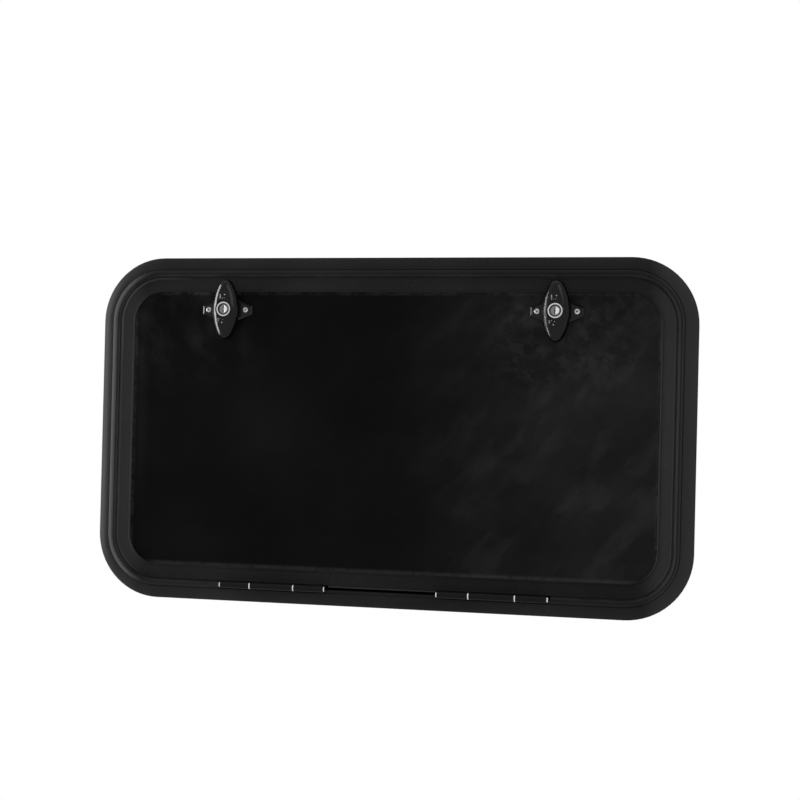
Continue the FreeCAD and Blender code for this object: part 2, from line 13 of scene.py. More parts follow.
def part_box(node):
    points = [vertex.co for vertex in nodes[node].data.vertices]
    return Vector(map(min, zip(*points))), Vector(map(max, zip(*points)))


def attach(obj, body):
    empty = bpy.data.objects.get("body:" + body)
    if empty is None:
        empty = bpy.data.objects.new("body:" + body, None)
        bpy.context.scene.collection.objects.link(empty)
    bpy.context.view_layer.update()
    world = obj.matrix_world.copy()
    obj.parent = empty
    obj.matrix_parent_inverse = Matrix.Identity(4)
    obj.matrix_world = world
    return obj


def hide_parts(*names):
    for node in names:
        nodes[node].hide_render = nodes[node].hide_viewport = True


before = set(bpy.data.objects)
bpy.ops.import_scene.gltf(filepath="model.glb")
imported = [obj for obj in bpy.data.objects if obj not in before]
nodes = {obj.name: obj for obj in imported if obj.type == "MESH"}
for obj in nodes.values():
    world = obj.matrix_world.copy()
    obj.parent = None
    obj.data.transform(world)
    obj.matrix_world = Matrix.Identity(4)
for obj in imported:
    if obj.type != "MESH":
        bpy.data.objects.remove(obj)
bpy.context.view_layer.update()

# %% [markdown]
# ## Working by hand
# Each operator acts on what is selected, so a new piece starts with nothing selected.
# A finished piece keeps its place in its mesh, with its object at the origin, as the loaded pieces do.

# %% Small helpers
MM = 0.001
SIDES = {"left": -1, "right": 1}


def clear_selection():
    bpy.ops.object.select_all(action="DESELECT")


def only(piece):
    clear_selection()
    piece.select_set(True)
    bpy.context.view_layer.objects.active = piece


def settle(piece, name):
    only(piece)
    bpy.ops.object.transform_apply(location=True, rotation=True, scale=True)
    piece.name = name
    piece.data.name = name
    return piece


def apply_modifiers(piece):
    only(piece)
    for modifier in list(piece.modifiers):
        bpy.ops.object.modifier_apply(modifier=modifier.name)


def round_edges(piece, width, segments):
    edge = piece.modifiers.new("round", "BEVEL")
    edge.width = width
    edge.segments = segments
    edge.limit_method = "ANGLE"
    apply_modifiers(piece)


def smooth(piece, degrees):
    only(piece)
    bpy.ops.object.shade_smooth_by_angle(angle=math.radians(degrees))


def enter_mesh():
    bpy.ops.object.mode_set(mode="EDIT")


def leave_mesh():
    bpy.ops.object.mode_set(mode="OBJECT")


def pick_none():
    enter_mesh()
    bpy.ops.mesh.select_all(action="DESELECT")
    leave_mesh()


def moved_copy(piece, name, offset, turn=None):
    twin = piece.copy()
    twin.data = piece.data.copy()
    twin.name = name
    twin.data.name = name
    bpy.context.scene.collection.objects.link(twin)
    if turn is not None:
        twin.data.transform(turn)
    twin.data.transform(Matrix.Translation(offset))
    return twin


def middle(node):
    low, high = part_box(node)
    return (low + high) / 2


def grey(level, blue=0.0):
    return (level, level, level + blue)


FRONT_ON = (math.radians(90), 0, 0)

# %% [markdown]
# ## Writing shaders as sums
# A finish is built from noise, masks and colours. The class below holds one value on its way through a
# material, so that masks can be added, multiplied and taken from one as ordinary numbers are,
# and any other node is made by one call.

# %% A value in a shader


class Value:
    def __init__(self, tree, socket):
        self.tree = tree
        self.socket = socket

    def node(self, kind, settings=None, sockets=None, out=0):
        made = self.tree.nodes.new(kind)
        for key, setting in (settings or {}).items():
            setattr(made, key, setting)
        for key, given in (sockets or {}).items():
            if isinstance(given, Value):
                self.tree.links.new(given.socket, made.inputs[key])
            else:
                made.inputs[key].default_value = given
        return Value(self.tree, made.outputs[out])

    def maths(self, operation, first, second):
        return self.node("ShaderNodeMath", {"operation": operation}, {0: first, 1: second})

    def __add__(self, other):
        return self.maths("ADD", self, other)

    def __radd__(self, other):
        return self.maths("ADD", other, self)

    def __sub__(self, other):
        return self.maths("SUBTRACT", self, other)

    def __rsub__(self, other):
        return self.maths("SUBTRACT", other, self)

    def __mul__(self, other):
        return self.maths("MULTIPLY", self, other)

    def __rmul__(self, other):
        return self.maths("MULTIPLY", other, self)

    def __abs__(self):
        return self.maths("ABSOLUTE", self, 0.0)

    def least(self, other):
        return self.maths("MINIMUM", self, other)

    def most(self, other):
        return self.maths("MAXIMUM", self, other)

    def ramp(self, low, high):
        sockets = {"Value": self, "From Min": low, "From Max": high, "To Min": 0.0, "To Max": 1.0}
        return self.node("ShaderNodeMapRange", {"interpolation_type": "SMOOTHSTEP"}, sockets)

    def noise(self, scale, detail=2.0, rough=0.5):
        sockets = {"Vector": self, "Scale": scale, "Detail": detail, "Roughness": rough}
        return self.node("ShaderNodeTexNoise", {}, sockets)

    def stretched(self, x, y, z):
        return self.node("ShaderNodeMapping", {}, {"Vector": self, "Scale": (x, y, z)})

    def turned(self, angle):
        return self.node("ShaderNodeMapping", {}, {"Vector": self, "Rotation": (0, angle, 0)})

    def colour(self, dark, light):
        sockets = {0: self, 6: (*dark, 1), 7: (*light, 1)}
        return self.node("ShaderNodeMix", {"data_type": "RGBA"}, sockets, out=2)

    def axis(self, letter):
        return self.node("ShaderNodeSeparateXYZ", {}, {0: self}, out="XYZ".index(letter))


class Finish:
    def __init__(self, name, **fixed):
        self.material = bpy.data.materials.new(name)
        self.material.use_nodes = True
        self.tree = self.material.node_tree
        self.shader = self.tree.nodes["Principled BSDF"]
        for key, amount in fixed.items():
            self.shader.inputs[key.replace("_", " ")].default_value = amount
        texture = self.tree.nodes.new("ShaderNodeTexCoord")
        self.place = Value(self.tree, texture.outputs["Object"])

    def feed(self, socket, value):
        self.tree.links.new(value.socket, self.shader.inputs[socket])

    def bump(self, height, depth, strength=1.0):
        sockets = {"Height": height, "Distance": depth, "Strength": strength}
        self.feed("Normal", self.place.node("ShaderNodeBump", {}, sockets))


def wear(piece, finish):
    if not piece.data.materials:
        piece.data.materials.append(finish.material)
    for spot in piece.material_slots:
        spot.material = finish.material


print("shader helpers ready")

# %% [markdown]
# ## Powder coat on the two frames
# Both frames are bent aluminium with a black powder coat. Such a coat has a fine orange peel,
# is a little patchy, and catches pale dust in specks. The peel is a small bump, the patches change the
# roughness, and the specks are the top of a fine noise.
# The coat isn't the same all over, and much of that is painted light. The uprights are painted paler than
# the rails as a painted sheen, and the bottom flange and the upper part are painted a little lighter. On
# the left the rib, the door's band and its two lips carry painted highlights and the flange painted shade,
# with a painted highlight along the door's outer lip round the upper left corner. On the right the rib and
# the lips carry painted shade and the outer rim a painted highlight.
# These places are found from their distance to the frame's outer edge, which follows the round corners.
# A picture of a coat could be laid on instead, but noise in object space has no seams at the bends.

# %% Distance from the frame's outer edge
FRAME_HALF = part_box("outer_frame")[1]
band_low, band_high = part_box("door_frame")
FRAME_CORNER = 75 * MM
RIM_WIDE = 10 * MM
FLANGE_END = 14.8 * MM
RIB_START = 16.8 * MM
RIB_END = 20 * MM
DOOR_EDGE = FRAME_HALF.x - band_high.x
BAND = 17 * MM
BAND_LIP = 2.4 * MM
BAND_END = DOOR_EDGE + BAND
BLEND = 0.4 * MM


def inset(place):
    past_side = abs(place.axis("X")) - (FRAME_HALF.x - FRAME_CORNER)
    past_top = abs(place.axis("Z")) - (FRAME_HALF.z - FRAME_CORNER)
    out_x = past_side.most(0.0)
    out_z = past_top.most(0.0)
    reach = place.maths("POWER", out_x * out_x + out_z * out_z, 0.5)
    return FRAME_CORNER - reach - past_side.most(past_top).least(0.0)


def between(depth, start, end):
    return depth.ramp(start - BLEND, start + BLEND) * depth.ramp(end + BLEND, end - BLEND)


print("frame half sizes:", round(FRAME_HALF.x, 4), round(FRAME_HALF.z, 4), "door from", round(DOOR_EDGE, 4))

# %% Powder coat
COATED = ("outer_frame", "door_frame")
COAT_DARK = grey(0.0070, 0.0002)
COAT_PALE = grey(0.110, 0.001)
FRONT_FROM = -2 * MM
FRONT_FULL = -4 * MM
UPRIGHT_FROM = 285 * MM
UPRIGHT_FULL = 318 * MM
SIDE_FULL = 325 * MM
MIDDLE_END = 50 * MM
MIDDLE_FADE = 250 * MM
LOW_RAIL_FROM = -177 * MM
LOW_RAIL_FULL = -188 * MM
TOP_RAIL_FROM = 120 * MM
TOP_RAIL_FULL = 160 * MM
coat = Finish("frame_powder_coat", Specular_IOR_Level=0.055)
coat_across = coat.place.axis("X")
coat_height = coat.place.axis("Z")
front = coat.place.axis("Y").ramp(FRONT_FROM, FRONT_FULL)
patches = coat.place.noise(9.0, 3.0)
peel = coat.place.noise(1400.0, 1.0)
specks = coat.place.noise(620.0, 0.0).ramp(0.80, 0.86)

# The uprights are painted paler than the rails: a painted sheen.
uprights = abs(coat_across).ramp(UPRIGHT_FROM, UPRIGHT_FULL)
to_ends = abs(coat_across).ramp(MIDDLE_END, MIDDLE_FADE)
# The bottom flange, more towards its ends, and the upper part are painted lighter: painted light.
bottom_rail = coat_height.ramp(LOW_RAIL_FROM, LOW_RAIL_FULL) * (to_ends * 0.04 + 0.032)
rails = bottom_rail + coat_height.ramp(TOP_RAIL_FROM, TOP_RAIL_FULL) * 0.048
# The random tone of the coat, with the painted sheen and the painted light on top.
shade = patches.ramp(0.3, 0.7) * 0.051 + peel * 0.019 + (uprights * 0.22).most(rails)

depth = inset(coat.place)
rim = depth.ramp(RIM_WIDE, 0.0)
flange = depth.ramp(FLANGE_END + BLEND, FLANGE_END - BLEND)
rib = between(depth, RIB_START, RIB_END)
band = depth.ramp(DOOR_EDGE - BAND_LIP, DOOR_EDGE)
outer_lip = between(depth, DOOR_EDGE, DOOR_EDGE + BAND_LIP)
inner_lip = between(depth, BAND_END - BAND_LIP, BAND_END)

# On the left the rib, the door's band and its two lips get painted highlights, and the flange painted
# shade.
left_side = coat_across.ramp(-UPRIGHT_FROM, -SIDE_FULL) * front
left_light = rib * 0.62 - flange * 0.21 + band * 0.04 + outer_lip * 0.20 + inner_lip * 0.14
# On the right the outer rim gets a painted highlight, and the rib and the lips painted shade.
right_side = coat_across.ramp(UPRIGHT_FROM, SIDE_FULL) * front
right_light = rim * 0.06 - rib * 0.19 - inner_lip * 0.06 - outer_lip * 0.06
# A painted highlight along the door's outer lip round the upper left corner.
upper_corner = coat_across.ramp(-0.225, -0.30) * coat_height.ramp(0.06, 0.12) * front
# The sum of these painted highlights and painted shade.
painted_light_places = left_side * left_light + right_side * right_light + upper_corner * outer_lip * 0.30

coat.feed("Base Color", (shade + painted_light_places + specks * 0.26).colour(COAT_DARK, COAT_PALE))
coat.feed("Roughness", patches.ramp(0.25, 0.75) * 0.10 + 0.50)
coat.bump(peel, 0.00012, 0.5)
for node in COATED:
    wear(nodes[node], coat)
print("powder coat on", len(COATED), "frames")

# %% [markdown]
# ## The panel
# The door's outer skin is a smooth black sheet. Wiping leaves it cloudy, most of all at the upper left
# and on the right half, with a mottle round the right lock and one soft cloud left of the middle.
# A pale rim of its protective film is left where the band clamps it, widest along the lower edge,
# with a thin painted highlight along its lifted edge at the upper right. Towards the right edge the black
# is painted paler, as a painted reflection.
# The clouds are large soft noise that makes the black a little paler and rougher,
# and the rim is found from the distance to the edge of the band.
# They could be painted by hand, but masked noise is easy to change and stays fine from near.

# %% Panel finish
PANEL_DARK = grey(0.0034, 0.0001)
PANEL_PALE = grey(0.044)
WIPE_ANGLE = math.radians(25)
SMEAR_ANGLE = math.radians(-40)
VISIBLE_X = band_high.x - BAND
VISIBLE_Z = band_high.z - BAND

panel = Finish("panel_black_sheet", Specular_IOR_Level=0.02)
across = panel.place.axis("X")
upward = panel.place.axis("Z")
clouds = panel.place.stretched(1.0, 1.0, 1.3).noise(8.0, 5.0, 0.62)
wipes = panel.place.turned(WIPE_ANGLE).stretched(1.3, 1.0, 0.8).noise(24.0, 4.0, 0.6)
smears = panel.place.turned(SMEAR_ANGLE).stretched(1.5, 1.0, 0.6).noise(20.0, 5.0, 0.62)
mottle = panel.place.noise(75.0, 4.0, 0.65)
ragged = panel.place.noise(120.0, 4.0, 0.7)

to_right = across.ramp(-0.03, 0.20)
# Towards the right edge the black is painted paler: a painted reflection.
far_right = across.ramp(0.20, 0.305)
upper_left = across.ramp(-0.10, -0.24) * upward.ramp(0.03, 0.10)
by_lock = across.ramp(0.10, 0.16) * across.ramp(0.31, 0.25) * upward.ramp(0.03, 0.09)
left_edge = (across + VISIBLE_X).ramp(0.022, 0.008) * upward.ramp(-0.14, 0.02)
left_cloud = abs(across + 0.14).ramp(0.11, 0.0) * abs(upward - 0.01).ramp(0.09, 0.0)

haze = to_right * (clouds.ramp(0.3, 0.7) * 0.55 + 0.45)
wiped = upper_left * wipes.ramp(0.40, 0.70) * 0.8
smudge = wiped + to_right * smears.ramp(0.46, 0.68) + by_lock * mottle.ramp(0.46, 0.62)
# These soft places include the painted reflection towards the right edge.
soft_places_and_reflection = clouds.ramp(0.35, 0.8) * 0.05 + left_cloud * 0.07 + left_edge * 0.10 + far_right * 0.08

from_edge = (VISIBLE_X - abs(across)).least(VISIBLE_Z - upward)
low_film = (upward + VISIBLE_Z).ramp(0.0055, 0.0) * ragged.ramp(0.2, 0.55)
side_film = from_edge.ramp(0.005, 0.0) * ragged.ramp(0.35, 0.65)
# A thin painted highlight along the film's lifted edge at the upper right.
sliver = (VISIBLE_X - across).ramp(0.0022, 0.0012) * upward.ramp(0.080, 0.090) * upward.ramp(0.142, 0.134)
# The film's pale rim, with the painted highlight on its lifted edge.
film_and_edge_highlight = (low_film * 0.75).most(side_film * (upper_left * 0.4 + 0.6)).most(sliver)

pale = soft_places_and_reflection + haze * 0.27 + smudge * 0.20 + film_and_edge_highlight * 0.9
panel.feed("Base Color", pale.colour(PANEL_DARK, PANEL_PALE))
panel.feed("Roughness", clouds.ramp(0.3, 0.75) * 0.18 + 0.30 + film_and_edge_highlight * 0.2)
panel.bump(wipes, 0.0004, 0.12)
wear(nodes["outer_skin"], panel)
print("visible panel half sizes:", round(VISIBLE_X, 4), round(VISIBLE_Z, 4))

# %% [markdown]
# ## The hidden side and the soft pieces
# Inside the vehicle the door shows a plain coated sheet. The core is yellowish foam, and the seal is
# dull black rubber with a faint bloom. The rubber in the gap round the door has more of it, and is painted
# paler along the sides and a little at the top, as painted light in the gap. One or two noises are enough
# for each finish, because little of these pieces shows.

# %% Inner sheet, foam and rubber
inner = Finish("inner_coated_sheet", Specular_IOR_Level=0.4)
inner_patch = inner.place.noise(6.0, 4.0)
inner_grain = inner.place.noise(900.0, 1.0)
inner_shade = inner_patch * 0.7 + inner_grain * 0.3
inner.feed("Base Color", inner_shade.colour(grey(0.014, 0.001), grey(0.032, 0.001)))
inner.feed("Roughness", inner_patch * 0.2 + 0.35)
inner.bump(inner_grain, 0.0001, 0.4)
wear(nodes["inner_skin"], inner)

foam = Finish("core_foam", Specular_IOR_Level=0.2)
cells = foam.place.noise(500.0, 2.0)
foam.feed("Base Color", cells.colour((0.55, 0.47, 0.30), (0.74, 0.67, 0.48)))
foam.feed("Roughness", cells * 0.1 + 0.85)
foam.bump(cells, 0.0006, 0.8)
wear(nodes["foam_core"], foam)

rubber = Finish("seal_rubber", Specular_IOR_Level=0.3)
bloom = rubber.place.noise(30.0, 4.0)
rubber_grain = rubber.place.noise(1200.0, 1.0)
rubber_shade = bloom.ramp(0.4, 0.8) * 0.6 + rubber_grain * 0.2
rubber.feed("Base Color", rubber_shade.colour(grey(0.006), grey(0.022)))
rubber.feed("Roughness", bloom * 0.15 + 0.62)
rubber.bump(rubber_grain, 0.00015, 0.5)
wear(nodes["frame_seal"], rubber)

lip_rubber = Finish("edge_lip_rubber", Specular_IOR_Level=0.15)
lip_bloom = lip_rubber.place.noise(40.0, 4.0)
lip_grain = lip_rubber.place.noise(1200.0, 1.0)
# Along the sides and at the top the gap's rubber is painted paler: painted light in the gap.
lip_sides = abs(lip_rubber.place.axis("X")).ramp(0.30, 0.322)
lip_top = lip_rubber.place.axis("Z").ramp(0.15, 0.17)
# Bloom and grain, with the painted light along the sides and the top.
lip_tone_and_painted_light = lip_bloom.ramp(0.3, 0.75) * 0.25 + lip_grain * 0.12 + (lip_sides * 0.5).most(lip_top * 0.15)
lip_rubber.feed("Base Color", lip_tone_and_painted_light.colour(grey(0.014), grey(0.085)))
lip_rubber.feed("Roughness", lip_bloom * 0.15 + 0.6)
lip_rubber.bump(lip_grain, 0.00015, 0.5)
wear(nodes["gap_strip"], lip_rubber)
print("inner sheet, foam and rubber done")

# %% [markdown]
# ## Hinge and lock finishes
# The knuckles are painted black, and their washers and pins are bare bright steel.
# The lock plates and handles are moulded black plastic with a fine grain, the key cylinders are chromed,
# and the works behind the door are zinc plated. One grey metal could serve for all, but paint, steel,
# zinc, chrome and nickel shine differently side by side, so each has its own small set of nodes.

# %% Hinge paint and bare steel
hinge_paint = Finish("hinge_black_paint", Specular_IOR_Level=0.09)
hinge_patch = hinge_paint.place.noise(60.0, 3.0)
hinge_grain = hinge_paint.place.noise(1500.0, 1.0)
hinge_shade = hinge_patch * 0.6 + hinge_grain * 0.3
hinge_paint.feed("Base Color", hinge_shade.colour(grey(0.002), grey(0.007)))
hinge_paint.feed("Roughness", hinge_patch * 0.15 + 0.3)
hinge_paint.bump(hinge_grain, 0.00008, 0.4)

steel = Finish("bright_bare_steel", Metallic=1.0)
tool_lines = steel.place.stretched(8.0, 1.0, 1.0).noise(700.0, 2.0)
stain = steel.place.noise(120.0, 3.0)
steel.feed("Base Color", (tool_lines * 0.5 + stain * 0.5).colour(grey(0.55, 0.01), grey(0.83, 0.01)))
steel.feed("Roughness", tool_lines * 0.15 + 0.2)
steel.bump(tool_lines, 0.00004, 0.3)

screw_steel = Finish("screw_dull_steel", Metallic=1.0)
screw_stain = screw_steel.place.noise(300.0, 3.0)
screw_steel.feed("Base Color", screw_stain.ramp(0.3, 0.7).colour(grey(0.22), grey(0.56)))
screw_steel.feed("Roughness", screw_stain * 0.2 + 0.22)

zinc = Finish("zinc_plate", Metallic=1.0)
spangle = zinc.place.noise(260.0, 3.0)
tarnish = zinc.place.noise(45.0, 3.0)
zinc.feed("Base Color", (spangle * 0.5 + tarnish * 0.5).colour(grey(0.42, -0.01), (0.70, 0.69, 0.66)))
zinc.feed("Roughness", tarnish * 0.2 + 0.28)
zinc.bump(spangle, 0.00005, 0.3)

chrome = Finish("cylinder_chrome", Metallic=1.0)
smear = chrome.place.noise(160.0, 4.0)
chrome.feed("Base Color", smear.colour(grey(0.42, 0.01), grey(0.66, 0.01)))
chrome.feed("Roughness", smear.ramp(0.4, 0.8) * 0.14 + 0.07)

nickel = Finish("plug_nickel", Metallic=1.0)
turning = nickel.place.stretched(1.0, 1.0, 6.0).noise(900.0, 2.0)
nickel.feed("Base Color", turning.colour(grey(0.10), grey(0.26)))
nickel.feed("Roughness", turning * 0.15 + 0.22)

METAL_PIECES = {
    "_hinge_frame_leaf": hinge_paint,
    "_hinge_door_leaf": hinge_paint,
    "_hinge_pin": steel,
    "_hinge_left_washer": steel,
    "_hinge_right_washer": steel,
    "_lock_nut": zinc,
    "_lock_spindle": zinc,
    "_lock_cam": zinc,
    "_cam_nut": zinc,
    "_cylinder_ring": chrome,
    "_key_plug": nickel,
}
for side in SIDES:
    for node, finish in METAL_PIECES.items():
        wear(nodes[side + node], finish)
print("metal finishes on", len(METAL_PIECES) * len(SIDES), "pieces")

# %% Moulded plastic
LOCK_OUT = middle("right_key_plug").x
PLATE_FLAT = 28 * MM
PLATE_END_FALL = 0.33
GRAIN_DEEP = 0.02 * MM


def moulded(name, dark, light, roughness, shine, end_fall):
    plastic = Finish(name, Specular_IOR_Level=shine)
    flow = plastic.place.noise(35.0, 3.0)
    grain = plastic.place.noise(1100.0, 2.0)
    scuffs = plastic.place.stretched(1.0, 1.0, 0.25).noise(240.0, 3.0).ramp(0.62, 0.78)
    plastic.feed("Base Color", (flow * 0.4 + grain * 0.2 + scuffs * 0.3).colour(dark, light))
    plastic.feed("Roughness", flow * 0.1 + scuffs * 0.1 + roughness)
    past_flat = (abs(abs(plastic.place.axis("X")) - LOCK_OUT) - PLATE_FLAT).most(0.0)
    plastic.bump(grain * GRAIN_DEEP + past_flat * end_fall, 1.0)
    return plastic


plate_plastic = moulded("lock_plate_plastic", grey(0.0055), grey(0.018, 0.001), 0.13, 0.15, PLATE_END_FALL)
grip_plastic = moulded("handle_plastic", grey(0.002), grey(0.006), 0.08, 0.17, 0.0)
for side in SIDES:
    wear(nodes[side + "_lock_body"], plate_plastic)
    wear(nodes[side + "_handle"], grip_plastic)
print("plastic on", 2 * len(SIDES), "pieces")

# %% [markdown]
# The handle's edge is stepped in three bevels, and its face is flat. On the real one the face falls away
# softly to both sides. A copy with its seams joined stands in for the handle: straight cuts give its face
# a grid of points, and those beside the middle are set back, further towards the edge.
# The seat of the key cylinder and the handle's back are hidden from the cuts. A Subdivision Surface
# modifier would give points too, but it would also round off the outline and the seat.

# %% Crown the handles
grip_low, grip_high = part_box("left_handle")
GRIP_HALF_LONG = (grip_high.z - grip_low.z) / 2
GRIP_HALF_WIDE = (grip_high.x - grip_low.x) / 2
GRIP_FLAT = 0.28
GRIP_BLUNT = 1.12
CUT_ACROSS = 1.5 * MM
CUTS_ACROSS = 9
CUT_ALONG = 3 * MM
CUTS_ALONG = 11
SEAT = 10.4 * MM
FALL = 28.0
FALL_DEPTH = 6 * MM


def set_back(beside, along):
    reach = (GRIP_BLUNT - (along / GRIP_HALF_LONG) ** 2) * GRIP_HALF_WIDE
    past = max(abs(beside) - GRIP_FLAT * reach, 0)
    return FALL * past**2


for side in SIDES:
    lock = middle(side + "_key_plug")
    grip = moved_copy(nodes[side + "_handle"], side + "_grip", Vector((0, 0, 0)))
    only(grip)
    if grip.data.has_custom_normals:
        bpy.ops.mesh.customdata_custom_splitnormals_clear()
    enter_mesh()
    bpy.ops.mesh.select_all(action="SELECT")
    bpy.ops.mesh.remove_doubles(threshold=0.001 * MM)
    pick_none()
    face_level = min(corner.co.y for corner in grip.data.vertices)
    for face in grip.data.polygons:
        inside = math.hypot(face.center.x - lock.x, face.center.z - lock.z) < SEAT
        face.select = inside or face.center.y > face_level + FALL_DEPTH
    bpy.context.tool_settings.mesh_select_mode = (False, False, True)
    enter_mesh()
    bpy.ops.mesh.hide(unselected=False)
    for step in range(-CUTS_ACROSS, CUTS_ACROSS + 1):
        bpy.ops.mesh.select_all(action="SELECT")
        bpy.ops.mesh.bisect(plane_co=(lock.x + step * CUT_ACROSS, 0, 0), plane_no=(1, 0, 0))
    for step in range(-CUTS_ALONG, CUTS_ALONG + 1):
        bpy.ops.mesh.select_all(action="SELECT")
        bpy.ops.mesh.bisect(plane_co=(0, 0, lock.z + step * CUT_ALONG), plane_no=(0, 0, 1))
    bpy.ops.mesh.reveal(select=False)
    leave_mesh()
    bpy.context.tool_settings.mesh_select_mode = (True, False, False)
    for corner in grip.data.vertices:
        beside = corner.co.x - lock.x
        along = corner.co.z - lock.z
        share = 1 - (corner.co.y - face_level) / FALL_DEPTH
        if share > 0 and math.hypot(beside, along) > SEAT:
            corner.co.y += share * set_back(beside, along)
    smooth(grip, 32)
    wear(grip, grip_plastic)
    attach(grip, side + "_turn")
    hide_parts(side + "_handle")
    print(grip.name, "corners:", len(grip.data.vertices))

# %% [markdown]
# ## Lock plate screws
# Each lock plate is held by two steel screws with a cross recess, one on each side of the handle.
# A cylinder is the start: its rims are bevelled to a low dome, and the recess is cut with
# two crossed wedges. A recess in the colour alone would catch no light.
# One screw is modelled and copied to the four places.

# %% Model one screw
HEAD = 3.1 * MM
HEAD_DEEP = 1.3 * MM
HEAD_DOME = 0.55 * MM
RECESS_LONG = 3.6 * MM
RECESS_WIDE = 1.0 * MM
RECESS_TALL = 1.4 * MM
RECESS_TAPER = (0.55, 1, 0.6)
clear_selection()
bpy.ops.mesh.primitive_cylinder_add(vertices=40, radius=HEAD, depth=HEAD_DEEP, rotation=FRONT_ON)
screw = settle(bpy.context.object, "lock_screw")
round_edges(screw, HEAD_DOME, 4)


def wedge(length, wide):
    clear_selection()
    bpy.ops.mesh.primitive_cube_add(size=1, location=(0, -HEAD_DEEP / 2, 0))
    blade = bpy.context.object
    blade.scale = (length, RECESS_TALL, wide)
    settle(blade, "recess_blade")
    pick_none()
    for corner in blade.data.vertices:
        corner.select = corner.co.y > -HEAD_DEEP / 2
    enter_mesh()
    bpy.ops.transform.resize(value=RECESS_TAPER, center_override=(0, 0, 0))
    leave_mesh()
    return blade


for length, wide in ((RECESS_LONG, RECESS_WIDE), (RECESS_WIDE, RECESS_LONG)):
    blade = wedge(length, wide)
    cut = screw.modifiers.new("recess", "BOOLEAN")
    cut.operation = "DIFFERENCE"
    cut.object = blade
    apply_modifiers(screw)
    bpy.data.objects.remove(blade)
smooth(screw, 35)
print("screw faces:", len(screw.data.polygons))

# %% Set the four lock screws
SCREW_OUT = 22.5 * MM
SCREW_PROUD = 0.35 * MM
BOSS_HIGH = 1.5 * MM
SCREW_TURN = 20
TURN_BY_END = 35
TURN_BY_LOCK = 15
plate_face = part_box("left_lock_body")[0].y + BOSS_HIGH
screw_level = plate_face - SCREW_PROUD + HEAD_DEEP / 2
for side, sign in SIDES.items():
    lock = middle(side + "_key_plug")
    for end, way in SIDES.items():
        spot = Vector((lock.x + way * SCREW_OUT, screw_level, lock.z))
        driven = math.radians(SCREW_TURN + TURN_BY_END * way + TURN_BY_LOCK * sign)
        piece = moved_copy(screw, side + "_lock_screw_" + end, spot, Matrix.Rotation(driven, 4, "Y"))
        wear(piece, screw_steel)
        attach(piece, "door")
bpy.data.objects.remove(screw)
print("lock screws at level", round(-plate_face / MM, 2), "mm")

# %% [markdown]
# ## Key cylinders
# A black gasket ring closes the seam between the chromed ring and the plug, and a bright shutter covers the
# right half of the key slot. The gasket is a torus, which already has the round section of such a ring.
# The shutter starts as a low cylinder that is cut near its middle, and its edges are rounded.

# %% Gaskets and key shutters
GASKET = 6.2 * MM
GASKET_ROUND = 0.75 * MM
GASKET_SUNK = 0.2 * MM
SHUTTER = 4.5 * MM
SHUTTER_HIGH = 0.9 * MM
SHUTTER_LIFT = 0.1 * MM
SHUTTER_ROUND = 0.25 * MM
SLOT_EDGE = 0.4 * MM
ring_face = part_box("left_cylinder_ring")[0].y
plug_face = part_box("left_key_plug")[0].y
for side in SIDES:
    lock = middle(side + "_key_plug")
    clear_selection()
    bpy.ops.mesh.primitive_torus_add(
        major_radius=GASKET,
        minor_radius=GASKET_ROUND,
        major_segments=48,
        minor_segments=12,
        location=(lock.x, ring_face + GASKET_SUNK, lock.z),
        rotation=FRONT_ON,
    )
    gasket = settle(bpy.context.object, side + "_cylinder_gasket")
    bpy.ops.object.shade_smooth()
    wear(gasket, rubber)
    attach(gasket, side + "_turn")

    clear_selection()
    bpy.ops.mesh.primitive_cylinder_add(
        vertices=40,
        radius=SHUTTER,
        depth=SHUTTER_HIGH,
        location=(lock.x, plug_face - SHUTTER_LIFT, lock.z),
        rotation=FRONT_ON,
    )
    shutter = settle(bpy.context.object, side + "_key_shutter")
    enter_mesh()
    bpy.ops.mesh.select_all(action="SELECT")
    cut_at = (lock.x + SLOT_EDGE, 0, 0)
    bpy.ops.mesh.bisect(plane_co=cut_at, plane_no=(1, 0, 0), use_fill=True, clear_inner=True)
    leave_mesh()
    round_edges(shutter, SHUTTER_ROUND, 3)
    smooth(shutter, 40)
    wear(shutter, steel)
    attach(shutter, side + "_key")
print("key cylinders dressed:", len(SIDES))

# %% [markdown]
# ## Marks on the handles
# Each handle has two pale ticks and a few small dots moulded in above and below the key cylinder.
# They are thin low bars and buttons that stand one or two tenths of a millimetre proud of the grip.
# A mask in the handle's colour would look printed, and these catch the light at their edges.
# Each row below gives a mark's half width and half height, and its place from the lock's middle,
# in millimetres.

# %% Model the ticks and the dots
MARK_HIGH = 0.3 * MM
MARK_SUNK = 0.05 * MM
MARK_ROUND = 0.08 * MM


def low_button(half_x, half_z):
    clear_selection()
    bpy.ops.mesh.primitive_cylinder_add(vertices=24, radius=1, depth=1, rotation=FRONT_ON)
    button = settle(bpy.context.object, "mark")
    button.scale = (half_x, MARK_HIGH, half_z)
    settle(button, "mark")
    round_edges(button, MARK_ROUND, 2)
    smooth(button, 40)
    return button


mark_paint = Finish("mark_paint", Specular_IOR_Level=0.4)
rubbed = mark_paint.place.noise(700.0, 3.0)
mark_paint.feed("Base Color", rubbed.ramp(0.35, 0.65).colour(grey(0.16), grey(0.52, -0.01)))
mark_paint.feed("Roughness", rubbed * 0.2 + 0.4)

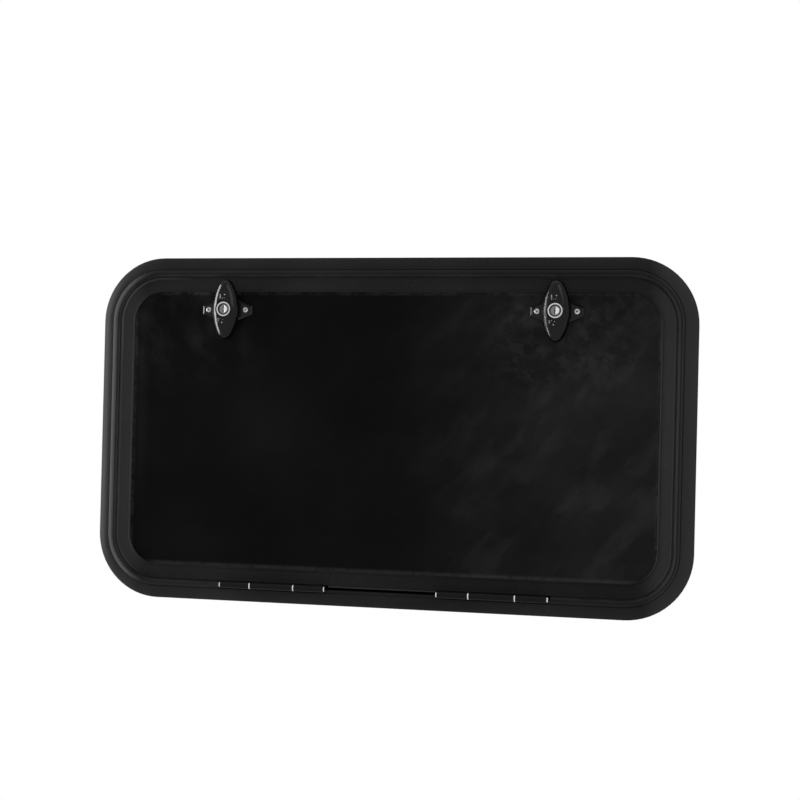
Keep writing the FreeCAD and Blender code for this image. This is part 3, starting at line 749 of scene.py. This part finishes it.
MARKS = (
    ("tick", 0.55, 3.0, -4.2, 14.6),
    ("upper_dot", 0.75, 0.75, 1.2, 16.6),
    ("lower_dot", 0.75, 0.75, -1.6, -15.6),
    ("lower_tick", 0.45, 2.2, -6.2, -12.6),
    ("inner_dot", 0.45, 0.45, 0.7, 12.9),
    ("inner_left_dot", 0.45, 0.45, -1.7, 12.6),
    ("low_left_dot", 0.45, 0.45, -3.9, -11.2),
    ("low_inner_dot", 0.45, 0.45, -0.3, -12.2),
)
for side in SIDES:
    lock = middle(side + "_key_plug")
    for mark, half_x, half_z, out_x, out_z in MARKS:
        button = low_button(half_x * MM, half_z * MM)
        spot = Vector((lock.x + out_x * MM, grip_low.y + MARK_SUNK, lock.z + out_z * MM))
        piece = moved_copy(button, side + "_handle_" + mark, spot)
        bpy.data.objects.remove(button)
        wear(piece, mark_paint)
        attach(piece, side + "_turn")
print("marks set:", len(MARKS) * len(SIDES))

# %% [markdown]
# ## Hinge rivets
# Each hinge leaf is riveted where it lies in the gap, the frame leaves to the frame's web and the door
# leaves to the door's edge. They show when the door hangs open. A sphere is cut in half and flattened
# to a button head, which needs no profile to be drawn, and it is copied to the twelve places.

# %% Model one rivet
RIVET = 2.4 * MM
RIVET_HIGH = 0.75 * MM
clear_selection()
bpy.ops.mesh.primitive_uv_sphere_add(segments=28, ring_count=14, radius=1)
rivet = settle(bpy.context.object, "rivet")
enter_mesh()
bpy.ops.mesh.select_all(action="SELECT")
bpy.ops.mesh.bisect(plane_co=(0, 0, 0), plane_no=(0, 0, 1), use_fill=True, clear_inner=True)
leave_mesh()
rivet.scale = (RIVET, RIVET, RIVET_HIGH)
settle(rivet, "rivet")
smooth(rivet, 40)
print("rivet faces:", len(rivet.data.polygons))

# %% Set the rivets
RIVET_DEEP = 5.5 * MM
RIVET_PLACES = {"outer": -46 * MM, "middle": 4 * MM, "inner": 46 * MM}
DOOR_SPREAD = 0.82
DOOR_SHIFT = 6 * MM
LEAF = 1.5 * MM
web_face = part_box("gap_strip")[0].z + LEAF
door_face = band_low.z - LEAF
head_down = Matrix.Rotation(math.radians(180), 4, "X")
for side in SIDES:
    centre = middle(side + "_hinge_frame_leaf").x
    for place, out in RIVET_PLACES.items():
        spot = Vector((centre + out, RIVET_DEEP, web_face))
        piece = moved_copy(rivet, side + "_frame_leaf_rivet_" + place, spot)
        wear(piece, hinge_paint)
        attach(piece, "frame")
        spot = Vector((centre + out * DOOR_SPREAD - DOOR_SHIFT, RIVET_DEEP, door_face))
        piece = moved_copy(rivet, side + "_door_leaf_rivet_" + place, spot, head_down)
        wear(piece, hinge_paint)
        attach(piece, "door")
bpy.data.objects.remove(rivet)
print("rivets set:", 2 * len(RIVET_PLACES) * len(SIDES))

# %% [markdown]
# ## Rubber on the door's edge
# A thin rubber lip round the door's edge closes most of the gap to the frame, and stops short of
# the hinges. It starts as a plane with rounded corners, is inset to a narrow ring and given its thickness.
# A section swept along a curve would do as well, but the lip is flat, so this is the shorter way.
# Between the two hinges a rubber strip along the door's lower edge narrows the gap to a thin dark line.
# It starts as a cube, its lower back edge is drawn up to a taper, and its edges are rounded.

# %% Model the edge lip
DOOR_CORNER = 52 * MM
LIP_WIDE = 1.1 * MM
LIP_DEEP = 1.4 * MM
LIP_SUNK = 1.0 * MM
LIP_ROUND = 0.3 * MM
HINGE_CLEAR = 2.7 * MM
hinge_low, hinge_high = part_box("right_hinge_frame_leaf")
HINGE_END = hinge_high.x + HINGE_CLEAR
clear_selection()
bpy.ops.mesh.primitive_plane_add(size=1, rotation=FRONT_ON)
lip = bpy.context.object
lip.scale = (2 * (band_high.x + LIP_WIDE), 2 * (band_high.z + LIP_WIDE), 1)
lip.location = (0, band_low.y + LIP_SUNK, 0)
settle(lip, "door_edge_lip")
enter_mesh()
bpy.ops.mesh.select_all(action="SELECT")
bpy.ops.mesh.bevel(affect="VERTICES", offset=DOOR_CORNER + LIP_WIDE, segments=20)
bpy.ops.mesh.select_all(action="SELECT")
bpy.ops.mesh.inset(thickness=LIP_WIDE, use_even_offset=True)
pick_none()
widest = max(lip.data.polygons, key=lambda face: face.area)
widest.select = True
enter_mesh()
bpy.ops.mesh.delete(type="FACE")
for way in SIDES.values():
    bpy.ops.mesh.select_all(action="SELECT")
    bpy.ops.mesh.bisect(plane_co=(way * HINGE_END, 0, 0), plane_no=(1, 0, 0))
pick_none()
for face in lip.data.polygons:
    face.select = face.center.z < 0 and abs(face.center.x) < HINGE_END
enter_mesh()
bpy.ops.mesh.delete(type="FACE")
leave_mesh()
thick = lip.modifiers.new("thick", "SOLIDIFY")
thick.thickness = LIP_DEEP
thick.offset = -1
round_edges(lip, LIP_ROUND, 2)
smooth(lip, 50)
wear(lip, lip_rubber)
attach(lip, "door")
lip_reach = [max(abs(corner.co[way]) for corner in lip.data.vertices) for way in range(3)]
print("lip faces:", len(lip.data.polygons), "reach:", [round(reach, 4) for reach in lip_reach])

# %% Model the strip
STRIP_CLEAR = 3.2 * MM
STRIP_HALF = hinge_low.x - STRIP_CLEAR
STRIP_DOWN = 2.0 * MM
STRIP_DEEP = 2.6 * MM
STRIP_SUNK = 0.4 * MM
STRIP_BITE = 0.02 * MM
STRIP_ROUND = 0.5 * MM
STRIP_TAPER = (0, -0.8 * MM, 0.4 * MM)
strip_depth = band_low.y + STRIP_SUNK + STRIP_DEEP / 2
strip_height = band_low.z + STRIP_BITE - STRIP_DOWN / 2
clear_selection()
bpy.ops.mesh.primitive_cube_add(size=1)
strip = bpy.context.object
strip.scale = (2 * STRIP_HALF, STRIP_DEEP, STRIP_DOWN)
strip.location = (0, strip_depth, strip_height)
settle(strip, "slot_strip")
pick_none()
for corner in strip.data.vertices:
    corner.select = corner.co.y > strip_depth and corner.co.z < strip_height
enter_mesh()
bpy.ops.transform.translate(value=STRIP_TAPER)
leave_mesh()
round_edges(strip, STRIP_ROUND, 3)
smooth(strip, 35)
wear(strip, rubber)
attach(strip, "door")
print("strip faces:", len(strip.data.polygons))

# %% [markdown]
# ## Floor, light and camera
# The hatch is shown against plain white. The floor lies well below it, so that the door can hang open.
# The floor and the background are white to the camera and to reflections, while softer light falls
# on the hatch. The light comes mostly from the left.

# %% Floor and background
FLOOR = -0.62
FLOOR_SIZE = 14
UNSEEN_STRENGTH = 0.4
clear_selection()
bpy.ops.mesh.primitive_plane_add(size=FLOOR_SIZE, location=(0, 0, FLOOR))
floor = settle(bpy.context.object, "floor")


def seen_rays(tree):
    path = tree.nodes.new("ShaderNodeLightPath")
    camera = Value(tree, path.outputs["Is Camera Ray"])
    glossy = Value(tree, path.outputs["Is Glossy Ray"])
    through = Value(tree, path.outputs["Is Transmission Ray"])
    return camera.most(glossy).most(through)


floor_white = Finish("floor_white", Base_Color=(*grey(0.8), 1), Roughness=0.9)
floor_tree = floor_white.tree
floor_seen = seen_rays(floor_tree)
plain = Value(floor_tree, floor_white.shader.outputs[0])
glow = floor_seen.node("ShaderNodeEmission")
mixed = floor_seen.node("ShaderNodeMixShader", {}, {0: floor_seen, 1: plain, 2: glow})
floor_tree.links.new(mixed.socket, floor_tree.nodes["Material Output"].inputs["Surface"])
wear(floor, floor_white)

world = bpy.data.worlds.new("white_room")
bpy.context.scene.world = world
world.use_nodes = True
sky = world.node_tree
backdrop = sky.nodes["Background"]
backdrop.inputs["Color"].default_value = (1, 1, 1, 1)
strength = seen_rays(sky) * (1 - UNSEEN_STRENGTH) + UNSEEN_STRENGTH
sky.links.new(strength.socket, backdrop.inputs["Strength"])
print("floor at", FLOOR)

# %% Lamps


def lamp(name, place, width, height, power):
    light = bpy.data.lights.new(name, "AREA")
    light.shape = "RECTANGLE"
    light.size = width
    light.size_y = height
    light.energy = power
    piece = bpy.data.objects.new(name, light)
    bpy.context.scene.collection.objects.link(piece)
    piece.location = place
    piece.rotation_euler = (-Vector(place)).to_track_quat("-Z", "Y").to_euler()


lamp("left_window", (-1.3, -0.16, 0.12), width=0.46, height=1.0, power=24)
lamp("front_fill", (1.6, -2.2, 1.2), width=1.4, height=1.4, power=12)
lamp("top_fill", (0.0, -0.6, 2.0), width=1.6, height=1.0, power=3)
print("lamps:", len(bpy.data.lights))

# %% Camera
AZIMUTH = math.radians(14.48)
ELEVATION = math.radians(-0.453)
ROLL = math.radians(1.409)
AWAY = 1.946
AIM = Vector((0.0154, 0.0, 0.0081))
FOCAL_PIXELS = 1708.2
SHIFT_PIXELS = 26.05
IMAGE = 800
SENSOR = 36
out = Vector(
    (
        math.sin(AZIMUTH) * math.cos(ELEVATION),
        -math.cos(AZIMUTH) * math.cos(ELEVATION),
        math.sin(ELEVATION),
    )
)
right = (-out).cross(Vector((0, 0, 1))).normalized()
up = right.cross(-out)
tilted_right = right * math.cos(ROLL) + up * math.sin(ROLL)
tilted_up = up * math.cos(ROLL) - right * math.sin(ROLL)
view = bpy.data.cameras.new("view")
view.sensor_width = SENSOR
view.lens = SENSOR * FOCAL_PIXELS / IMAGE
view.shift_y = SHIFT_PIXELS / IMAGE
camera = bpy.data.objects.new("view", view)
bpy.context.scene.collection.objects.link(camera)
turned_view = Matrix((tilted_right, tilted_up, out)).transposed().to_4x4()
camera.matrix_world = Matrix.Translation(AIM + out * AWAY) @ turned_view
bpy.context.scene.camera = camera
bpy.context.scene.view_settings.view_transform = "Standard"
print("camera lens", round(view.lens, 2), "mm")
